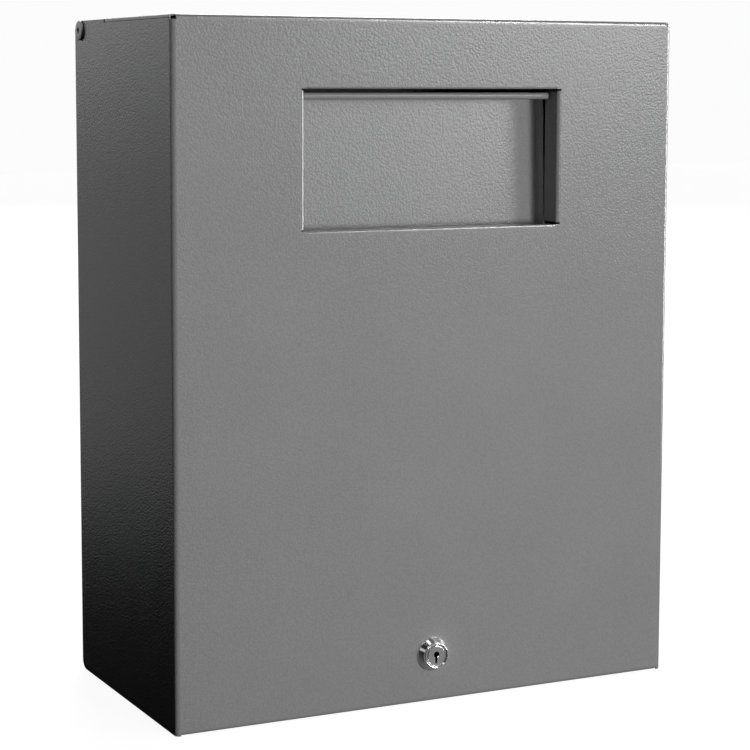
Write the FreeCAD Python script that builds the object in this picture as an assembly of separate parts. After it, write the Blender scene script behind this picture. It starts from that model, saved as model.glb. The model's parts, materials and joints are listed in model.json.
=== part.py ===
import FreeCAD, Part
import math
import os

from FreeCAD import Placement, Rotation, Vector

# Wall-mounted book drop box, millimetres.  +Z is up and the front faces -Y.  The origin is on
# the floor plane at the middle of the whole outline, lock collar included.

# ---- driving dimensions: the box ----
box_width = 368.3
box_depth = 184.15
box_height = 457.2
sheet = 1.2                     # steel sheet of the cover, the back pan and the floor tray
bend_inside = 2.0               # inside radius of the cover's and the pan's bends
floor_gap = 0.6                 # the cover hangs this far above the surface the box stands on
wall_gap = 0.5                  # rear edges of the cover's sides stay this far off the wall

# ---- driving dimensions: cover ----
top_panel_depth = 122.0         # cover's top, measured back from the front face
top_seam = 2.0                  # slot between the cover's top and the pan's top strip
side_top_drop = 0.3             # rear part of each side stands this far below the top
rear_corner_radius = 7.0
relief_width = 3.6              # square relief where the three top bends meet
relief_height = 3.1
bottom_return = 12.0            # flange along the lower edge of the front
lap_groove_drop = 2.5           # lap line of the top panel on the sides
lap_groove = 0.35

# ---- driving dimensions: deposit mouth ----
mouth_width = 187.5
mouth_height = 91.1
mouth_top_margin = 45.8         # top of the mouth, measured down from the top of the box
side_return_depth = 16.7
sill_return_depth = 12.0
head_return_depth = 8.0
mouth_side_bend = 1.2           # inside radius of the upright bends beside the mouth
mouth_edge_bend = 0.3           # inside radius of the sill's and the head's bends
return_relief = 1.2             # the returns stop this far short of the mouth's corners

# ---- driving dimensions: deposit flap and its rod ----
flap_sheet = 1.0
flap_bend = 2.5
flap_side_width = 12.2          # side flanges, front edge to the face
flap_lean = 1.9                 # degrees the closed flap's foot leans towards the front
flap_overlap = 11.0             # flap reaches this far below the sill
flap_foot_return = 8.0
flap_end_gap = 0.5
flap_stop_gap = 0.3
rod_radius = 1.2
rod_setback = 13.3              # rod's axis behind the front face
rod_drop = 4.7                  # rod's axis below the top of the mouth
rod_running_gap = 0.05
rod_overhang = 3.0
clip_radius = 3.5
clip_flange = 0.48
clip_collar_wall = 0.8
clip_height = 1.6

# ---- driving dimensions: cover pivots ----
pivot_from_wall = 12.0
pivot_from_top = 7.0
pivot_screw_radius = 3.0
pivot_running_gap = 0.05
pivot_head_radius = 6.7
pivot_head_height = 1.6
pivot_flange_thickness = 1.15
pivot_flange_rim = 1.0          # thickness of the head's flange at its edge
pivot_flange_ledge = 0.4        # flat ledge between the flange's edge and the dome
pivot_crown_land = 1.3          # flat ring round the socket
dome_bulge = 0.05               # how far the head's dome bows out, as a share of its chord
pivot_socket_flats = 4.0
pivot_socket_depth = 2.0
bush_wall = 1.0
bush_flange_radius = 5.5
bush_flange = 0.8
side_play = 0.3                 # play between each bush and the pan
head_play = 0.2                 # play under each screw head
doubler_size = 24.0
doubler_inset = 1.0             # doubler's rear edge in front of the side's rear edge
washer_radius = 5.4
washer_thickness = 1.2
nut_flats = 10.0
nut_thickness = 6.0
nut_chamfer_angle = 30.0

# ---- driving dimensions: back pan and floor tray ----
pan_side_depth = 30.0
pan_lip_height = 10.0
pan_floor_gap = 1.6             # pan's lower edge above the surface the box stands on
wall_hole_radius = 3.5
wall_hole_spacing_x = 254.0
wall_hole_spacing_z = 304.8
tray_side_height = 30.0
tray_back_height = 25.0
tray_lip_height = 18.0
tray_lip_setback = 14.2
rivet_radius = 2.0
rivet_head_radius = 3.8
rivet_crown_radius = 2.85
rivet_head_height = 1.1
rivet_tail_radius = 3.0
rivet_tail_height = 1.4
rivet_height = 15.0
rivet_pitch = 11.0
bumper_spacing = 240.0
bumper_radius = 5.0
bumper_tip_radius = 4.2
bumper_edge = 1.0               # chamfer round the bumper's tip
bumper_below_edge = 1.0         # top of each bumper below the lip's edge
bumper_stem_radius = 2.5
bumper_barb_radius = 3.4
bumper_barb_length = 4.0
bumper_barb_end_radius = 1.5
bumper_gap = 0.3

# ---- driving dimensions: cam lock ----
lock_height = 33.3
plug_radius = 6.7
barrel_wall = 2.65
barrel_flat_wall = 1.25         # wall left where the barrel's two flats are
barrel_length = 15.0
collar_overlap = 2.0            # collar's base wider than the barrel, all round
collar_edge = 1.3               # straight edge of the collar against the panel
collar_land = 1.3               # straight part behind the collar's front ring
collar_projection = 6.9
collar_groove = 0.95            # sunk ring round the plug
collar_rim = 1.0                # bright rim round the sunk ring
collar_recess = 0.9
plug_running_gap = 0.05
plug_face_setback = 0.5
keyhole_radius = 1.8
keyhole_rise = 0.9
key_slot_width = 2.0
key_slot_tip_width = 1.0
key_slot_length = 5.2
keyhole_depth = 12.0
lock_hole_clearance = 0.1
lock_washer_overlap = 3.6
lock_washer_thickness = 0.8
lock_nut_wall = 2.1
lock_nut_thickness = 4.0
stop_washer_radius = 7.5
stop_washer_thickness = 1.0
plug_end_gap = 0.3
tail_flats = 6.0
cam_thickness = 2.5
cam_hub_radius = 8.0
cam_tip_radius = 5.5
cam_reach = 27.0
cam_screw_radius = 2.0
cam_screw_flats = 8.0
cam_screw_head = 3.0
cam_screw_grip = 6.0

# ---- places worked out from the driving dimensions ----
front_y = (collar_projection - box_depth) / 2
back_y = front_y + box_depth
half_width = box_width / 2
bend_outside = bend_inside + sheet
fold_leg = 2 * bend_outside     # flat stub that laps each fold onto its panel
cut_margin = 1.0                # cutting shapes run this far past the faces they cut

mouth_half = mouth_width / 2
mouth_top = box_height - mouth_top_margin
mouth_sill = mouth_top - mouth_height

pivot_y = back_y - pivot_from_wall
pivot_z = box_height - pivot_from_top
cover_inner_x = half_width - sheet
doubler_inner_x = cover_inner_x - sheet
bush_inner_x = doubler_inner_x - bush_flange
pan_half = bush_inner_x - side_play
tray_half = pan_half - sheet
bush_bore_radius = pivot_screw_radius + pivot_running_gap
bush_radius = bush_bore_radius + bush_wall

top_edge_y = front_y + top_panel_depth
strip_edge_y = top_edge_y + top_seam
lip_y = front_y + tray_lip_setback

rod_y = front_y + rod_setback
rod_z = mouth_top - rod_drop
curl_inner_radius = rod_radius + rod_running_gap
curl_radius = curl_inner_radius + flap_sheet
flap_half = mouth_half + sheet / 2

plug_bore = plug_radius + plug_running_gap
barrel_radius = plug_bore + barrel_wall
barrel_half_flat = plug_bore + barrel_flat_wall
collar_radius = barrel_radius + collar_overlap
collar_recess_radius = plug_bore + collar_groove
collar_front_radius = collar_recess_radius + collar_rim
lock_nut_flats = 2 * (barrel_radius + lock_nut_wall)

panel_back_y = front_y + sheet
barrel_end_y = front_y + barrel_length
stop_washer_y = barrel_end_y + plug_end_gap
cam_y = stop_washer_y + stop_washer_thickness
cam_back_y = cam_y + cam_thickness


# ---- shape helpers ----
def block(x_range, y_range, z_range):
    size = [high - low for low, high in (x_range, y_range, z_range)]
    corner = Vector(x_range[0], y_range[0], z_range[0])
    return Part.makeBox(size[0], size[1], size[2], corner)


def rod_along(axis, start, length, radius):
    return Part.makeCylinder(radius, length, start, axis)


def along_x(x_range, y, z, radius):
    return rod_along(Vector(1, 0, 0), Vector(x_range[0], y, z), x_range[1] - x_range[0], radius)


def side_rod(side, x_range, y, z, radius):
    # A rod along X on the left (side -1) or on the right (side 1), x_range measured from the middle.
    return along_x(sorted((side * x_range[0], side * x_range[1])), y, z, radius)


def along_y(y_range, x, z, radius):
    return rod_along(Vector(0, 1, 0), Vector(x, y_range[0], z), y_range[1] - y_range[0], radius)


def hex_prism(across_flats, length):
    # Hexagonal bar standing on the origin along +Z, with flats facing +Y and -Y.
    corner_radius = across_flats / math.sqrt(3)
    corners = []
    for step in range(7):
        angle = math.radians(60 * step)
        corners.append(Vector(corner_radius * math.cos(angle), corner_radius * math.sin(angle), 0))
    return Part.Face(Part.makePolygon(corners)).extrude(Vector(0, 0, length))


def turned(profile):
    # Solid of revolution about +Z from (radius, height) points.
    points = [Vector(radius, 0, height) for radius, height in profile]
    wire = Part.makePolygon(points + [points[0]])
    return Part.Face(wire).revolve(Vector(0, 0, 0), Vector(0, 0, 1), 360)


def aimed(shape, start, axis, spin=0):
    # A shape built along +Z is laid along axis, from start, after a spin about its own length.
    up = Vector(0, 0, 1)
    shape = shape.copy()
    shape.Placement = Placement(start, Rotation(up, axis) * Rotation(up, spin))
    return shape


def fused(first, *others):
    return first.multiFuse(list(others)).removeSplitter()


def unit(start, end):
    length = math.hypot(end[0] - start[0], end[1] - start[1])
    return ((end[0] - start[0]) / length, (end[1] - start[1]) / length)


def sheet_bend(before, corner, after, thickness, inside_radius):
    # Tangent points and mid-points of one bend, on the drawn face and on the sheet's other face.
    arrive = unit(before, corner)
    leave = unit(corner, after)
    turn = arrive[0] * leave[1] - arrive[1] * leave[0]
    half_angle = math.acos(arrive[0] * leave[0] + arrive[1] * leave[1]) / 2
    side = 1 if turn > 0 else -1
    face_radius = inside_radius if turn > 0 else inside_radius + thickness
    other_radius = inside_radius + thickness if turn > 0 else inside_radius
    reach = face_radius * math.tan(half_angle)
    face_in = (corner[0] - arrive[0] * reach, corner[1] - arrive[1] * reach)
    face_out = (corner[0] + leave[0] * reach, corner[1] + leave[1] * reach)
    centre = (face_in[0] - side * arrive[1] * face_radius,
              face_in[1] + side * arrive[0] * face_radius)
    outwards = unit(centre, corner)
    face_mid = (centre[0] + outwards[0] * face_radius, centre[1] + outwards[1] * face_radius)
    other_mid = (centre[0] + outwards[0] * other_radius, centre[1] + outwards[1] * other_radius)
    other_in = (face_in[0] + arrive[1] * thickness, face_in[1] - arrive[0] * thickness)
    other_out = (face_out[0] + leave[1] * thickness, face_out[1] - leave[0] * thickness)
    return (face_in, face_mid, face_out), (other_in, other_mid, other_out)


def folded_sheet(points, plane, span, thickness=sheet, inside_radius=bend_inside):
    # A folded sheet: points follow one face and the sheet lies to the right of the way they run.
    # plane says what the points are: "plan" (x, y), "side" (y, z) or "front" (x, z); span is the
    # sheet's extent along the third axis.
    lift = {
        "plan": lambda point: Vector(point[0], point[1], span[0]),
        "side": lambda point: Vector(span[0], point[0], point[1]),
        "front": lambda point: Vector(point[0], span[0], point[1]),
    }[plane]
    along = {"plan": Vector(0, 0, 1), "side": Vector(1, 0, 0), "front": Vector(0, 1, 0)}[plane]
    first = unit(points[0], points[1])
    last = unit(points[-2], points[-1])
    face_path = [(points[0],)]
    other_path = [((points[0][0] + first[1] * thickness, points[0][1] - first[0] * thickness),)]
    for before, corner, after in zip(points, points[1:], points[2:]):
        face_arc, other_arc = sheet_bend(before, corner, after, thickness, inside_radius)
        face_path.append(face_arc)
        other_path.append(other_arc)
    face_path.append((points[-1],))
    other_path.append(((points[-1][0] + last[1] * thickness, points[-1][1] - last[0] * thickness),))
    loop = face_path + [item[::-1] for item in other_path[::-1]]
    edges = []
    for item, following in zip(loop, loop[1:] + loop[:1]):
        if len(item) == 3:
            edges.append(Part.Arc(*[lift(point) for point in item]).toShape())
        edges.append(Part.LineSegment(lift(item[-1]), lift(following[0])).toShape())
    return Part.Face(Part.Wire(edges)).extrude(along * (span[1] - span[0]))


def corner_waste(y, z, y_way, z_way, radius, x_range):
    # What a rounded corner removes: the corner is at (y, z) and the sheet lies y_way and z_way of it.
    centre_y = y + y_way * radius
    centre_z = z + z_way * radius
    outside_y = y - y_way * cut_margin
    outside_z = z - z_way * cut_margin
    square = block(x_range, sorted((outside_y, centre_y)), sorted((outside_z, centre_z)))
    return square.cut(along_x(x_range, centre_y, centre_z, radius))


def both_sides(make):
    # One solid for each side of the box: make(-1) on the left and make(1) on the right.
    return Part.makeCompound([make(-1), make(1)])


def save(node, shape):
    shape.exportStep("parts/" + node + ".step")
    print(node, len(shape.Solids), "solids", round(shape.Volume / 1000, 2), "cm3", shape.isValid())


# ---- fixed body: back pan, floor tray and what is fastened to them ----
def make_back_pan():
    side_front_y = back_y - pan_side_depth
    wide = (-pan_half, pan_half)
    between_bends = (-pan_half + bend_outside, pan_half - bend_outside)
    wrap = folded_sheet(
        [(-pan_half, side_front_y), (-pan_half, back_y), (pan_half, back_y), (pan_half, side_front_y)],
        "plan", (pan_floor_gap, box_height - sheet))
    top_bend_space = block(wide, (back_y - bend_outside, back_y),
                           (box_height - bend_outside, box_height))
    top_fold = folded_sheet(
        [(strip_edge_y, box_height - pan_lip_height), (strip_edge_y, box_height),
         (back_y, box_height), (back_y, box_height - fold_leg)],
        "side", between_bends)
    top_strip = block(wide, (strip_edge_y + bend_outside, back_y - bend_outside),
                      (box_height - sheet, box_height))
    pan = fused(wrap.cut(top_bend_space), top_fold, top_strip)
    through_side = (pan_half - sheet - cut_margin, pan_half + cut_margin)
    through_back = (back_y - sheet - cut_margin, back_y + cut_margin)
    for side in (-1, 1):
        pan = pan.cut(side_rod(side, through_side, pivot_y, pivot_z, pivot_screw_radius))
        for rivet_y in rivet_places():
            pan = pan.cut(side_rod(side, through_side, rivet_y, rivet_height, rivet_radius))
        for level in (-1, 1):
            hole_z = (box_height + level * wall_hole_spacing_z) / 2
            pan = pan.cut(along_y(through_back, side * wall_hole_spacing_x / 2, hole_z, wall_hole_radius))
    return pan


def rivet_places():
    middle = back_y - pan_side_depth / 2
    return (middle - rivet_pitch / 2, middle + rivet_pitch / 2)


def make_floor_tray():
    back_face = back_y - sheet
    runner = folded_sheet(
        [(back_face, tray_back_height), (back_face, 0), (lip_y, 0), (lip_y, tray_lip_height)],
        "side", (-tray_half + bend_outside, tray_half - bend_outside))
    trough = folded_sheet(
        [(tray_half, tray_side_height), (tray_half, 0),
         (-tray_half, 0), (-tray_half, tray_side_height)],
        "front", (lip_y + bend_outside, back_face - bend_outside))
    tray = fused(runner, trough)
    through_side = (tray_half - sheet - cut_margin, tray_half + cut_margin)
    through_lip = (lip_y - cut_margin, lip_y + sheet + cut_margin)
    for side in (-1, 1):
        for rivet_y in rivet_places():
            tray = tray.cut(side_rod(side, through_side, rivet_y, rivet_height, rivet_radius))
        tray = tray.cut(along_y(through_lip, side * bumper_spacing / 2, bumper_height(), bumper_stem_radius))
    return tray


def make_tray_rivets():
    # Low-headed rivets through the pan's and the tray's sides, heads outwards.
    grip = 2 * sheet
    crown = grip + rivet_head_height
    shape = turned([
        (0, -rivet_tail_height), (rivet_tail_radius, -rivet_tail_height), (rivet_tail_radius, 0),
        (rivet_radius, 0), (rivet_radius, grip), (rivet_head_radius, grip),
        (rivet_crown_radius, crown), (0, crown)])
    rivets = []
    for side in (-1, 1):
        for rivet_y in rivet_places():
            start = Vector(side * (pan_half - grip), rivet_y, rivet_height)
            rivets.append(aimed(shape, start, Vector(side, 0, 0)))
    return Part.makeCompound(rivets)


def bumper_height():
    return tray_lip_height - bumper_below_edge - bumper_radius


def make_cover_bumpers():
    # Push-in rubber bumpers on the tray's lip; the closed cover's front rests on their tips.
    length = tray_lip_setback - sheet - bumper_gap
    barb_end = -sheet - bumper_barb_length
    shape = turned([
        (0, barb_end), (bumper_barb_end_radius, barb_end), (bumper_barb_radius, -sheet),
        (bumper_stem_radius, -sheet), (bumper_stem_radius, 0), (bumper_radius, 0),
        (bumper_tip_radius, length - bumper_edge), (bumper_tip_radius - bumper_edge, length), (0, length)])
    return both_sides(lambda side: aimed(
        shape, Vector(side * bumper_spacing / 2, lip_y, bumper_height()), Vector(0, -1, 0)))


def make_pivot_screws():
    # Flanged button-head screws; the plain shank is the cover's pivot.
    head_seat = half_width + head_play
    shank_end = pan_half - sheet - washer_thickness - nut_thickness - head_seat
    flange = pivot_flange_thickness
    dome_radius = pivot_head_radius - pivot_flange_ledge
    dome_height = pivot_head_height - flange
    crown_radius = pivot_socket_flats / 2 + pivot_crown_land
    outline = [Vector(0, 0, shank_end), Vector(pivot_screw_radius, 0, shank_end),
               Vector(pivot_screw_radius, 0, 0), Vector(pivot_head_radius, 0, 0),
               Vector(pivot_head_radius, 0, pivot_flange_rim), Vector(dome_radius, 0, flange)]
    crown = Vector(crown_radius, 0, pivot_head_height)
    # The dome is an arc through a point a little outside the middle of its chord.
    bulge = Vector(dome_height, 0, dome_radius - crown_radius) * dome_bulge
    dome_mid = (outline[-1] + crown) * 0.5 + bulge
    centre = Vector(0, 0, pivot_head_height)
    edges = [Part.LineSegment(a, b).toShape() for a, b in zip(outline, outline[1:])]
    edges.append(Part.Arc(outline[-1], dome_mid, crown).toShape())
    edges.append(Part.LineSegment(crown, centre).toShape())
    edges.append(Part.LineSegment(centre, outline[0]).toShape())
    screw = Part.Face(Part.Wire(edges)).revolve(Vector(0, 0, 0), Vector(0, 0, 1), 360)
    socket = hex_prism(pivot_socket_flats, pivot_socket_depth + cut_margin)
    socket.translate(Vector(0, 0, pivot_head_height - pivot_socket_depth))
    screw = screw.cut(socket)
    return both_sides(lambda side: aimed(
        screw, Vector(side * head_seat, pivot_y, pivot_z), Vector(side, 0, 0)))


def ring(radius, bore_radius, thickness):
    return Part.makeCylinder(radius, thickness).cut(Part.makeCylinder(bore_radius, thickness))


def make_pivot_washers():
    washer = ring(washer_radius, pivot_screw_radius, washer_thickness)
    return both_sides(lambda side: aimed(
        washer, Vector(side * (pan_half - sheet - washer_thickness), pivot_y, pivot_z), Vector(side, 0, 0)))


def make_pivot_nuts():
    flat_radius = nut_flats / 2
    rim = nut_flats / math.sqrt(3) + cut_margin
    rim_height = (rim - flat_radius) * math.tan(math.radians(nut_chamfer_angle))
    envelope = turned([(0, 0), (flat_radius, 0), (rim, rim_height), (rim, nut_thickness), (0, nut_thickness)])
    nut = hex_prism(nut_flats, nut_thickness).common(envelope)
    nut = nut.cut(Part.makeCylinder(pivot_screw_radius, nut_thickness))
    outer_x = pan_half - sheet - washer_thickness
    return both_sides(lambda side: aimed(
        nut, Vector(side * (outer_x - nut_thickness), pivot_y, pivot_z), Vector(side, 0, 0), 90))


# ---- swinging cover and what it carries ----
def make_cover_shell():
    rear_y = back_y - wall_gap
    whole = (-half_width, half_width)
    between_reliefs = (-half_width + relief_width, half_width - relief_width)
    side_top = box_height - side_top_drop
    wrap = folded_sheet(
        [(half_width, rear_y), (half_width, front_y), (-half_width, front_y), (-half_width, rear_y)],
        "plan", (floor_gap, side_top))
    top_waste = block(whole, (front_y, top_edge_y), (box_height - sheet, box_height))
    relief_waste = block(whole, (front_y, front_y + bend_outside),
                         (box_height - max(relief_height, bend_outside), box_height))
    seam_waste = block(whole, (top_edge_y, strip_edge_y), (box_height - lap_groove_drop, box_height))
    foot_waste = block(between_reliefs, (front_y, front_y + bend_outside),
                       (floor_gap, floor_gap + bend_outside))
    wrap = wrap.cut(top_waste).cut(relief_waste).cut(seam_waste).cut(foot_waste)
    for z, z_way in ((side_top, -1), (floor_gap, 1)):
        wrap = wrap.cut(corner_waste(rear_y, z, -1, z_way, rear_corner_radius, whole))
    top_fold = folded_sheet(
        [(front_y, box_height - fold_leg), (front_y, box_height), (front_y + fold_leg, box_height)],
        "side", between_reliefs)
    top_panel = block(whole, (front_y + bend_outside, top_edge_y), (box_height - sheet, box_height))
    foot_fold = folded_sheet(
        [(front_y + bottom_return, floor_gap), (front_y, floor_gap), (front_y, floor_gap + fold_leg)],
        "side", between_reliefs)
    shell = fused(wrap, top_fold, top_panel, foot_fold)
    shell = cut_mouth(shell)
    bush_hole = along_x((-half_width - cut_margin, half_width + cut_margin), pivot_y, pivot_z, bush_radius)
    shell = shell.cut(bush_hole).cut(lock_hole_waste())
    groove_z = box_height - lap_groove_drop
    for side in (-1, 1):
        groove_x = sorted((side * (half_width - lap_groove), side * (half_width + cut_margin)))
        shell = shell.cut(block(groove_x, (front_y + bend_outside, top_edge_y + cut_margin),
                                (groove_z, groove_z + lap_groove)))
    return shell


def lock_hole_waste():
    # Round hole with two flats, which keeps the lock's barrel from turning in the panel.
    through = (front_y - cut_margin, panel_back_y + cut_margin)
    radius = barrel_radius + lock_hole_clearance
    flat = barrel_half_flat + lock_hole_clearance
    between_flats = block((-flat, flat), through, (lock_height - 2 * radius, lock_height + 2 * radius))
    return along_y(through, 0, lock_height, radius).common(between_flats)


def cut_mouth(shell):
    # The mouth's four edges are folded inwards; the upright returns carry the flap's rod.
    side_bend = mouth_side_bend + sheet
    edge_bend = mouth_edge_bend + sheet
    upright_span = (mouth_sill + return_relief, mouth_top - return_relief)
    level_span = (-mouth_half + return_relief, mouth_half - return_relief)
    through = (front_y - cut_margin, panel_back_y + cut_margin)
    shell = shell.cut(block((-mouth_half, mouth_half), through, (mouth_sill, mouth_top)))
    shell = shell.cut(block((-mouth_half - side_bend, mouth_half + side_bend), through, upright_span))
    shell = shell.cut(block(level_span, through, (mouth_sill - edge_bend, mouth_top + edge_bend)))
    lap = 2 * sheet
    returns = []
    for side in (-1, 1):
        ends = [(side * (mouth_half + side_bend + lap), front_y), (side * mouth_half, front_y),
                (side * mouth_half, front_y + side_return_depth)]
        if side < 0:
            # The sheet lies to the right of the way the points run, so the left return runs backwards.
            ends.reverse()
        upright = folded_sheet(ends, "plan", upright_span, inside_radius=mouth_side_bend)
        through_return = (mouth_half - cut_margin, mouth_half + sheet + cut_margin)
        returns.append(upright.cut(side_rod(side, through_return, rod_y, rod_z, rod_radius)))
    sill = [(front_y, mouth_sill - edge_bend - lap), (front_y, mouth_sill),
            (front_y + sill_return_depth, mouth_sill)]
    head = [(front_y + head_return_depth, mouth_top), (front_y, mouth_top),
            (front_y, mouth_top + edge_bend + lap)]
    for points in (sill, head):
        returns.append(folded_sheet(points, "side", level_span, inside_radius=mouth_edge_bend))
    return fused(shell, *returns)


def make_pivot_doublers():
    rear_y = back_y - wall_gap - doubler_inset
    top_z = box_height - sheet - doubler_inset

    def doubler(side):
        x_range = sorted((side * doubler_inner_x, side * cover_inner_x))
        plate = block(x_range, (rear_y - doubler_size, rear_y), (top_z - doubler_size, top_z))
        plate = plate.cut(corner_waste(rear_y, top_z, -1, -1, rear_corner_radius - doubler_inset, x_range))
        return plate.cut(along_x(x_range, pivot_y, pivot_z, bush_radius))

    return both_sides(doubler)


def make_pivot_bushes():
    sleeve = 2 * sheet
    bush = turned([
        (bush_bore_radius, -bush_flange), (bush_flange_radius, -bush_flange), (bush_flange_radius, 0),
        (bush_radius, 0), (bush_radius, sleeve), (bush_bore_radius, sleeve)])
    return both_sides(lambda side: aimed(
        bush, Vector(side * doubler_inner_x, pivot_y, pivot_z), Vector(side, 0, 0)))


def make_flap_rod():
    half = mouth_half + sheet + rod_overhang
    return along_x((-half, half), rod_y, rod_z, rod_radius)


def make_rod_clips():
    # Push-on clips: a flat flange and a collar that tapers onto the rod.
    clip = turned([
        (rod_radius, 0), (clip_radius, 0), (clip_radius, clip_flange),
        (rod_radius + clip_collar_wall, clip_flange), (rod_radius, clip_height)])
    return both_sides(lambda side: aimed(
        clip, Vector(side * (mouth_half + sheet), rod_y, rod_z), Vector(side, 0, 0)))


def make_lock_barrel():
    # Conical collar in front of the panel, and the barrel with its two flats behind it.
    recess_floor = collar_projection - collar_recess
    cone_front = collar_projection - collar_land
    profile = [(plug_bore, recess_floor), (collar_recess_radius, recess_floor),
               (collar_recess_radius, collar_projection), (collar_front_radius, collar_projection),
               (collar_front_radius, cone_front), (collar_radius, collar_edge), (collar_radius, 0),
               (barrel_radius, 0), (barrel_radius, -barrel_length), (plug_bore, -barrel_length)]
    barrel = aimed(turned(profile), Vector(0, front_y, lock_height), Vector(0, -1, 0))
    behind_panel = (front_y, barrel_end_y + cut_margin)
    beside = (lock_height - 2 * barrel_radius, lock_height + 2 * barrel_radius)
    for side in (-1, 1):
        flat_x = sorted((side * barrel_half_flat, side * 2 * barrel_radius))
        barrel = barrel.cut(block(flat_x, behind_panel, beside))
    return barrel


def make_lock_washer():
    washer = ring(barrel_radius + lock_washer_overlap, barrel_radius, lock_washer_thickness)
    return aimed(washer, Vector(0, panel_back_y, lock_height), Vector(0, 1, 0))


def make_lock_nut():
    nut = hex_prism(lock_nut_flats, lock_nut_thickness)
    nut = nut.cut(Part.makeCylinder(barrel_radius, lock_nut_thickness))
    return aimed(nut, Vector(0, panel_back_y + lock_washer_thickness, lock_height), Vector(0, 1, 0))


# ---- deposit flap ----
def make_deposit_flap():
    # A face sheet curled round the rod at its top, with a flange along its foot and down each side.
    side_front_y = rod_y + flap_side_offset()
    face_back_y = side_front_y + flap_side_width + flap_sheet
    top_z = rod_z + curl_radius
    foot_z = mouth_sill - flap_overlap
    outer_bend = flap_bend + flap_sheet
    middle = (-flap_half + outer_bend, flap_half - outer_bend)
    face = folded_sheet(
        [(rod_y, top_z), (face_back_y, top_z), (face_back_y, foot_z),
         (face_back_y + flap_foot_return, foot_z)],
        "side", middle, flap_sheet, flap_bend)
    sides = folded_sheet(
        [(-flap_half, side_front_y), (-flap_half, face_back_y),
         (flap_half, face_back_y), (flap_half, side_front_y)],
        "plan", (foot_z + outer_bend, top_z - outer_bend), flap_sheet, flap_bend)
    curl_x = (flap_end_gap - mouth_half, mouth_half - flap_end_gap)
    flap = fused(face, sides, along_x(curl_x, rod_y, rod_z, curl_radius))
    flap = flap.cut(along_x(curl_x, rod_y, rod_z, curl_inner_radius))
    flap.rotate(Vector(0, rod_y, rod_z), Vector(1, 0, 0), -flap_lean)
    return flap


def flap_side_offset():
    # How far the side flanges' edges stand behind the rod's axis on the upright flap: once it leans,
    # they are one stop gap behind the mouth's side returns at the level of the sill.
    fall = rod_z - mouth_sill
    lean = math.radians(flap_lean)
    edge = side_return_depth + flap_stop_gap - rod_setback
    return (edge + fall * math.sin(lean)) / math.cos(lean)


# ---- turning part of the lock ----
def make_lock_plug():
    # Round plug with a keyhole in its face and a square tail that carries the cam.
    face_y = front_y - collar_projection + plug_face_setback
    front_cut_y = face_y - cut_margin
    plug = along_y((face_y, stop_washer_y), 0, lock_height, plug_radius)
    plug = fused(plug, square_tail((stop_washer_y - cut_margin, cam_back_y)))
    hole_z = lock_height + keyhole_rise
    keyhole = along_y((front_cut_y, face_y + keyhole_depth), 0, hole_z, keyhole_radius)
    half_slot = key_slot_width / 2
    half_tip = key_slot_tip_width / 2
    tip_z = hole_z - keyhole_radius / 2 - key_slot_length
    corners = [Vector(-half_slot, front_cut_y, hole_z), Vector(half_slot, front_cut_y, hole_z),
               Vector(half_tip, front_cut_y, tip_z), Vector(-half_tip, front_cut_y, tip_z)]
    outline = Part.Face(Part.makePolygon(corners + corners[:1]))
    slot = outline.extrude(Vector(0, keyhole_depth + cut_margin, 0))
    screw_hole = along_y((cam_back_y - cam_screw_grip, cam_back_y + cut_margin),
                         0, lock_height, cam_screw_radius)
    return plug.cut(keyhole).cut(slot).cut(screw_hole)


def square_tail(y_range):
    half_tail = tail_flats / 2
    return block((-half_tail, half_tail), y_range, (lock_height - half_tail, lock_height + half_tail))


def make_stop_washer():
    y_range = (stop_washer_y, cam_y)
    return along_y(y_range, 0, lock_height, stop_washer_radius).cut(square_tail(y_range))


def make_lock_cam():
    # The cam points to +X with the lock undone and turns down behind the tray's lip.
    y_range = (cam_y, cam_back_y)
    tip_x = cam_reach - cam_tip_radius
    hub = along_y(y_range, 0, lock_height, cam_hub_radius)
    tip = along_y(y_range, tip_x, lock_height, cam_tip_radius)
    lean = math.asin((cam_hub_radius - cam_tip_radius) / tip_x)
    corners = []
    for centre, radius, way in ((0, cam_hub_radius, 1), (tip_x, cam_tip_radius, 1),
                                (tip_x, cam_tip_radius, -1), (0, cam_hub_radius, -1)):
        corner_x = centre + radius * math.sin(lean)
        corner_z = lock_height + way * radius * math.cos(lean)
        corners.append(Vector(corner_x, cam_y, corner_z))
    arm = Part.Face(Part.makePolygon(corners + corners[:1])).extrude(Vector(0, cam_thickness, 0))
    return fused(hub, tip, arm).cut(square_tail(y_range))


def make_cam_screw():
    seat = Vector(0, cam_back_y, lock_height)
    head = aimed(hex_prism(cam_screw_flats, cam_screw_head), seat, Vector(0, 1, 0))
    shank = along_y((cam_back_y - cam_screw_grip, cam_back_y), 0, lock_height, cam_screw_radius)
    return fused(head, shank)


os.makedirs("parts", exist_ok=True)
pieces = {
    "back_pan": make_back_pan,
    "floor_tray": make_floor_tray,
    "tray_rivets": make_tray_rivets,
    "cover_bumpers": make_cover_bumpers,
    "pivot_screws": make_pivot_screws,
    "pivot_washers": make_pivot_washers,
    "pivot_nuts": make_pivot_nuts,
    "cover_shell": make_cover_shell,
    "pivot_doublers": make_pivot_doublers,
    "pivot_bushes": make_pivot_bushes,
    "flap_rod": make_flap_rod,
    "rod_clips": make_rod_clips,
    "lock_barrel": make_lock_barrel,
    "lock_washer": make_lock_washer,
    "lock_nut": make_lock_nut,
    "deposit_flap": make_deposit_flap,
    "lock_plug": make_lock_plug,
    "stop_washer": make_stop_washer,
    "lock_cam": make_lock_cam,
    "cam_screw": make_cam_screw,
}
for node, make in pieces.items():
    save(node, make())
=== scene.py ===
import json
import math

import bmesh
import bpy
import numpy as np
from mathutils import Matrix, Vector


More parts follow.
